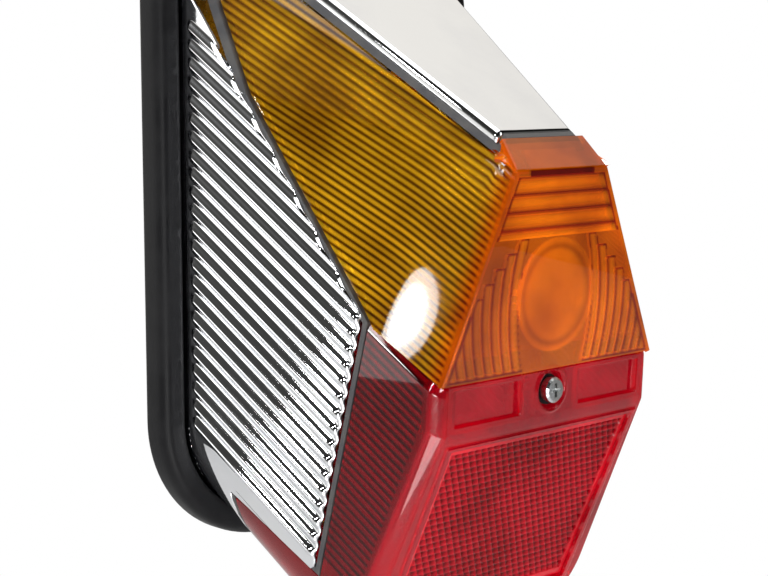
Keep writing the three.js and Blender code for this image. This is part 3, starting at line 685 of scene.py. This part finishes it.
# %% [markdown]
# The flutes on the flank are narrow half cylinders side by side. The front has three kinds
# of relief: level bars at the top, a domed eye in the middle, and upright flutes on both
# sides of it. All of it is a height that thickens the wall inwards, under a smooth outer skin.

# %% Relief of the amber lens
FLUTE_PITCH, FLUTE_SLOPE = 1.78, 0.617
EYE_HEIGHT, EYE_RADIUS = 20.5, 15.5
BAR_PITCH, BAR_TOP, BAR_BOTTOM = 4.6, 52.6, 37.6
UPRIGHT_PITCH = 3.5


def half_round(distance, pitch, high):
    """Repeating arch: high in the middle of each pitch and zero at its edges."""
    phase = (distance / pitch) % 1.0 - 0.5
    return high * np.sqrt(np.clip(1 - (2 * phase) ** 2, 0, None))


def wave(distance, pitch):
    """1 at the middle of each pitch and 0 between them, with a soft change."""
    return 0.5 - 0.5 * np.cos(2 * math.pi * distance / pitch)


def flank_relief(y, z, before_edge):
    """Flutes along the slope, fading within 2 mm of the nose edge and of the seam."""
    fade = np.clip((before_edge - 1.2) / 1.6, 0, 1)
    return half_round(z - FLUTE_SLOPE * y, FLUTE_PITCH, 0.85) * fade


def smooth_step(value, low, high):
    """0 below low, 1 above high, with a soft change between."""
    t = np.clip((value - low) / (high - low), 0, 1)
    return t * t * (3 - 2 * t)


def front_relief(x, z):
    """Bars above, an eye in the middle and stepped uprights beside it."""
    half = 43.0 - 0.4574 * z
    edge = np.clip((half - np.abs(x) - 1.5) / 1.2, 0, 1)
    bars = half_round(BAR_TOP - z, BAR_PITCH, 1.9) * ((z < BAR_TOP) & (z > BAR_BOTTOM - 1.3))
    away = np.hypot(x, z - EYE_HEIGHT)
    dome = np.sqrt(np.clip(26.0**2 - away**2, 0, None)) - math.sqrt(26.0**2 - EYE_RADIUS**2)
    dome = np.clip(dome, 0, None) * 0.35
    outer_way = np.abs(x) + 0.009 * (z - 18) ** 2 - 15.0
    column = np.floor(outer_way / UPRIGHT_PITCH)
    top = 36.5 - column * 3.6
    upright = half_round(outer_way, UPRIGHT_PITCH, 1.9)
    upright = upright * (outer_way > 0) * np.clip((top - z) / 0.8, 0, 1)
    upright = upright * (away > EYE_RADIUS)
    return np.maximum(np.maximum(bars, dome), upright) * edge * np.clip((z - 0.8) / 0.8, 0, 1)


# %% Amber lens
ROWS, FLANK_COLUMNS, FRONT_COLUMNS = 300, 40, 132
level = np.linspace(0, 1, ROWS)
crown = 0.94
c_low, c_high = 55.9, 111.4
c = c_low + (c_high - c_low) * np.clip(level / crown, 0, 1)
start_y = np.where(c < 102.5, (c - 105.41) / 0.7355, -4.0)
start_z = c + FLUTE_SLOPE * start_y
end_y = (-FACE - c / 18) / 1.0343
end_z = c + FLUTE_SLOPE * end_y
rise = np.clip((level - crown) / (1 - crown), 0, 1)
start_z = start_z + rise * (112.8 - start_z)
side_end = np.stack([end_y + rise * (-85.9 - end_y), end_z + rise * (57.1 - end_z)], -1)
crown_end = np.stack([end_y + rise * (ROOF_END - end_y), end_z + rise * (62.3 - end_z)], -1)

step = np.concatenate([[0, 0.006, 0.012, 0.018, 0.026], np.linspace(0.035, 1, FLANK_COLUMNS - 5)])[None, :]
flank_y = start_y[:, None] + (side_end[:, :1] - start_y[:, None]) * step
flank_z = start_z[:, None] + (side_end[:, 1:] - start_z[:, None]) * step
roof_edge = 115.4 + TILT * flank_y - (1 - level[:, None]) * 0.6
flank_z = np.minimum(flank_z, np.where(flank_y > -85.9, roof_edge, 1e3))
distance = (flank_y - side_end[:, :1]) / ALONG
relief = flank_relief(flank_y, flank_z, distance)
relief = relief * np.clip((crown - level[:, None]) / 0.03, 0, 1) * np.clip(step * 40, 0, 1)
from_seam = (start_y[:, None] - flank_y) / ALONG
bevel = 1.3 * np.clip(1 - from_seam / 1.7, 0, 1)
flank = np.stack([trimmed_x(flank_y, flank_z) + bevel, flank_y, flank_z], -1)
# Painted shade and painted highlight on the flank flutes: dark between the flutes and light along them, with
# a finer banding on top, and an even middle value within 1.6 mm of the nose edge where the flutes fade. The
# random tone from flute to flute is not light.
flank_groove = wave(flank_z - FLUTE_SLOPE * flank_y, FLUTE_PITCH)
number = np.floor((flank_z - FLUTE_SLOPE * flank_y) / FLUTE_PITCH)
uneven = np.abs(np.sin(number * 12.9898) * 43758.5453) % 1.0
fine = wave(flank_z - FLUTE_SLOPE * flank_y, FLUTE_PITCH / 2)
flank_groove = flank_groove * (0.62 + 0.38 * uneven) * (0.8 + 0.2 * fine)
flank_groove = np.where(distance > 1.6, flank_groove, 0.45)

crown_half = np.where(rise > 0, 18.3 + rise * (16.4 - 18.3), -trimmed_x(side_end[:, 0], side_end[:, 1]))
spread = np.linspace(-1, 1, FRONT_COLUMNS)[None, :]
front_x = spread * crown_half[:, None]
front_z = np.broadcast_to(crown_end[:, 1:], front_x.shape)
front_rows_y = np.broadcast_to(crown_end[:, :1], front_x.shape)
bulge = front_relief(front_x, front_z) * (rise[:, None] == 0)
front = np.stack([front_x, front_rows_y, front_z], -1)
amber_grid = np.concatenate([flank, front, flip(flank)[:, ::-1]], 1)
amber_relief = np.concatenate([relief, bulge, relief[:, ::-1]], 1)
# Painted shade and painted highlight on the front: dark at the edges of the bars and uprights and light along
# their middles, a painted dark ring on the eye, painted shade over the left part of the front below 45 mm,
# and a painted dark band between the top bar and the crown.
front_groove = np.where(bulge > 0.05, np.clip(bulge / 1.9, 0, 1) ** 2.4, 0.5)
from_eye = np.hypot(front_x, front_z - EYE_HEIGHT)
eye_ring = 0.72 - 0.3 * np.exp(-((from_eye - 13.2) / 0.9) ** 2)
front_groove = np.where(from_eye < EYE_RADIUS, eye_ring, front_groove)
front_groove = front_groove * (1 - 0.3 * smooth_step(-front_x, 8, 26) * (front_z < 45))
front_groove = np.where((np.abs(front_x) < 13) & (front_z > 52.4) & (front_z < 54.2), 0.0, front_groove)
groove = np.concatenate([flank_groove, front_groove, flank_groove[:, ::-1]], 1)
# Nose mask: the front, the crown and the last few millimetres of the flank take the front's colour pair
# instead of the side's, a painted difference in how front and side are lit.
nose = np.concatenate([np.clip(1.4 - distance / 5.0, 0, 1), np.ones_like(bulge)], 1)
nose = np.concatenate([nose, nose[:, :FLANK_COLUMNS][:, ::-1]], 1)
nose = np.maximum(nose, np.clip((level[:, None] - crown + 0.01) * 80, 0, 1) * (nose > 0.2))
amber_skin = moulding("amber_lens_skin", amber_grid, 1.4, amber_relief, groove=groove, nose=nose)
dress(amber_skin, amber, "lens_unit", "amber", "amber_lens")

# %% [markdown]
# The red lens wraps round the side, the rounded lower corner and the underside. It follows
# the same sloping lines as the chrome, from the seam forward to the front face, and then
# turns the corner with a small round before it joins the front.

# %% Red wrap


def red_front_reach(z0):
    """Where a sloping line meets the nose band or the leaning reflex face, whichever comes first."""
    reflex_face = (-95.454 - 0.461 * z0) / 1.3135
    band = (-FACE - z0 / 18) / (1 + TILT / 18)
    return np.maximum(reflex_face, band)


x0, z0, outward = flank_line(330, 34, 14, 60.4)
under = outward[:, 2] < -0.999
rear = seam_reach(z0, under) - 0.2
fore = red_front_reach(z0)
ROUND = 3.2
travel = np.linspace(0, 1, 60)
y = rear[:, None] + (fore + ROUND - rear)[:, None] * travel
wrap = slide(x0[:, None], z0[:, None], y)
wrap[..., 0] += 1.2 * np.clip((z0 - 58.0) / 2.4, 0, 1)[:, None]
flute = rib_height(z0[:, None], y, rear[:, None] - 1.0, 1.0, 0.9, RIB_PITCH / 2, 2 * RIB_COUNT)
flute = flute * np.clip((y - fore[:, None] - 6.0) / 1.5, 0, 1)
flute = flute * ((outward[:, 0] < -0.999) & (z0 < 57.5) & (z0 > -16))[:, None]
edge = slide(x0, z0, fore)
landing = edge - outward * ROUND
corner_steps = np.linspace(0, 1, 7)[1:, None, None]
soft = 0.25
straight = wrap[None, :, -1] * (1 - corner_steps) + landing[None] * corner_steps
curved = ((1 - corner_steps) ** 2 * wrap[None, :, -1] + 2 * corner_steps * (1 - corner_steps) * edge[None]
          + corner_steps**2 * landing[None])
bend = straight * (1 - soft) + curved * soft
wrap = np.concatenate([wrap, bend.transpose(1, 0, 2)], 1)
flute = np.pad(flute, ((0, 0), (0, 6)))
travel_all = np.concatenate([travel, np.full(6, 1.1)])[None, :]
both = np.concatenate([wrap, flip(wrap)[-2::-1]], 0)
# Painted shade and painted highlight on the red side: dark and light lines along the flutes, flat middle
# values elsewhere, and the round into the front given the front's brighter colour pair as a painted
# highlight.
red_rib_painted_shading = wave(z0[:, None] - LOWEST_RIB + 0 * wrap[..., 0], RIB_PITCH / 2)
red_rib_painted_shading = np.where((flute > 0) | (np.abs(outward[:, :1]) > 0.99) & (travel_all < 0.9), red_rib_painted_shading, 0.7)
red_rib_painted_shading = np.where((z0[:, None] < -16), 0.75, red_rib_painted_shading)
painted_corner_highlight = np.broadcast_to(np.clip((travel_all - 0.96) * 40, 0, 1), red_rib_painted_shading.shape)
both_masks = [np.concatenate([m, m[-2::-1]], 0) for m in (flute, red_rib_painted_shading, painted_corner_highlight)]
red_wrap = moulding("red_lens_wrap", both, 1.5, both_masks[0], groove=both_masks[1], nose=both_masks[2])
dress(red_wrap, red, "lens_unit", "red", "red_lens")

# %% [markdown]
# The red front has the nose band above and the leaning reflex face below. Two windows are
# sunk into the band, with a round pocket for the screw between them. The reflex face has a
# raised frame and a shallow tray that holds the prism panel.

# %% Red front
LEAN = math.atan2(89 - 68.9, 57.6 - 14)
lean_out = np.array([0.0, -math.cos(LEAN), -math.sin(LEAN)])


def sunk(x, z, x_low, x_high, z_low, z_high, slope=0.5):
    """1 inside a rectangle and 0 outside, changing over slope millimetres at its edges."""
    inside = np.minimum(np.minimum(x - x_low, x_high - x), np.minimum(z - z_low, z_high - z))
    return smooth_step(inside, 0, slope)


band_rows = np.linspace(-0.1, -12.4, 64)
z0_rows = np.linspace(45.6, BOTTOM + 0.3, 190)
face_y = (-95.454 - 0.461 * z0_rows) / 1.3135
face_z = z0_rows + TILT * face_y
corner_depth = np.clip(BOTTOM + CORNER - z0_rows, 0, CORNER)
face_half = (HALF - CORNER + np.sqrt(CORNER**2 - corner_depth**2)) * (1 + DRAFT * face_y / HALF)
lambdas = np.linspace(-1, 1, 240)[None, :]

band_half = np.full(len(band_rows), 43.4)
x = lambdas * (band_half[:, None] - ROUND)
z = np.broadcast_to(band_rows[:, None], x.shape)
windows = sunk(np.abs(x), z, 11.7, 37.5, -11.0, -1.2)
pocket_distance = np.hypot(x, z + SCREW_BELOW_SEAM)
pocket = 1 - smooth_step(pocket_distance, 4.6, 5.3)
collar = np.exp(-((pocket_distance - 5.9) / 0.5) ** 2) * 0.5
band = np.stack([x, front_y(z) + 1.6 * windows + 2.2 * pocket - collar * (z < -0.4), z], -1)

x = lambdas * (face_half[:, None] - ROUND)
flat_y = np.broadcast_to(face_y[:, None], x.shape)
z = np.broadcast_to(face_z[:, None], x.shape)
down = (-14 - z) / math.cos(LEAN)
tray = sunk(x, -down, -37.0, 37.0, -62.0, -3.5, 0.4)
frame_ring = sunk(x, -down, -39.4, 39.4, -64.5, -1.8, 0.7) - tray
lift = 0.7 * frame_ring - 2.3 * tray
face = np.stack([x, flat_y, z], -1) + lift[..., None] * lean_out
# Painted shade on the red front: the band darker outside the windows and in a ring round the screw pocket,
# the reflex tray darker, and its raised frame given a painted highlight.
red_front_painted_shading = np.concatenate([1 - 0.5 * collar - 0.25 * (1 - windows), 0.75 - 0.5 * tray + 0.25 * frame_ring], 0)
red_grid = np.concatenate([band, face], 0)
red_front = moulding("red_lens_front", red_grid, 1.8, groove=red_front_painted_shading, nose=np.ones_like(red_front_painted_shading))
dress(red_front, red, "lens_unit", "red")

# %% [markdown]
# A reflex panel sends light back because its rear is covered in corner prisms: three square
# faces that meet in a point, packed as a honeycomb. The height of such a prism is the
# smallest of three slopes about its centre, so the whole panel is one formula on a hexagon
# lattice. Here the prisms face forward, where they show.

# %% Reflex panel
CELL = 2.5


def corner_prisms(a, b):
    """Nearest centre of a hexagon lattice, then the lowest of three planes set 120 degrees apart."""
    row_step = CELL * math.sqrt(3) / 2
    best = None
    for offset in (0, 1):
        row = 2 * np.round((b / row_step - offset) / 2) + offset
        column = np.round(a / CELL - offset * 0.5) + offset * 0.5
        da, db = a - column * CELL, b - row * row_step
        gap = da**2 + db**2
        if best is None:
            best, keep_a, keep_b = gap, da, db
        else:
            nearer = gap < best
            keep_a, keep_b = np.where(nearer, da, keep_a), np.where(nearer, db, keep_b)
    slopes = [keep_a * math.sin(t) + keep_b * math.cos(t) for t in (0, 2 * math.pi / 3, 4 * math.pi / 3)]
    return 0.95 * (CELL / 2 - np.maximum(np.maximum(slopes[0], slopes[1]), slopes[2]))


a = np.linspace(-36.6, 36.6, 270)[None, :]
b = np.linspace(3.9, 61.6, 214)[:, None]
a, b = np.broadcast_arrays(a, b)
inner = sunk(a, -b, -35.2, 35.2, -59.2, -5.4, 0.3)
prism = corner_prisms(a, b) * inner + 1.1 * (1 - inner)
down_dir = np.array([0.0, math.sin(LEAN), -math.cos(LEAN)])
panel = np.array([0.0, -89.0, -14.0]) + np.stack([a, 0 * a, 0 * a], -1) + b[..., None] * down_dir
panel = panel + (prism[..., None] - 1.4) * lean_out
# Painted shade and painted highlight on the prisms: dark where the prisms meet and light at their points; the
# border round the prisms takes the slightly lighter front colour pair as a painted highlight.
reflex_piece = moulding("reflex_prism_panel", panel, 0.6, groove=np.clip(prism, 0, 1.2) / 1.2, nose=1 - inner)
dress(reflex_piece, reflex, "lens_unit", "red", "reflex_panel")

# %% [markdown]
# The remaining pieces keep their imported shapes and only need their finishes: plated
# fasteners, brass sockets, glass bulbs, the dark seal, and the white partition.

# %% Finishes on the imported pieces
FINISH_OF = {"rubber": rubber, "chrome": chrome, "zinc": zinc, "brass": brass, "amber": amber, "red": red,
             "white": white_plastic, "dark": seal_foam, "glass": bulb_glass}
slot_of = {part["node"]: part["material_slot"] for part in frame["record"]["subparts"]}
for name, node in frame["nodes"].items():
    node.data.materials.clear()
    node.data.materials.append(FINISH_OF[slot_of[name]])
print(len(slot_of), "packed pieces have a finish")
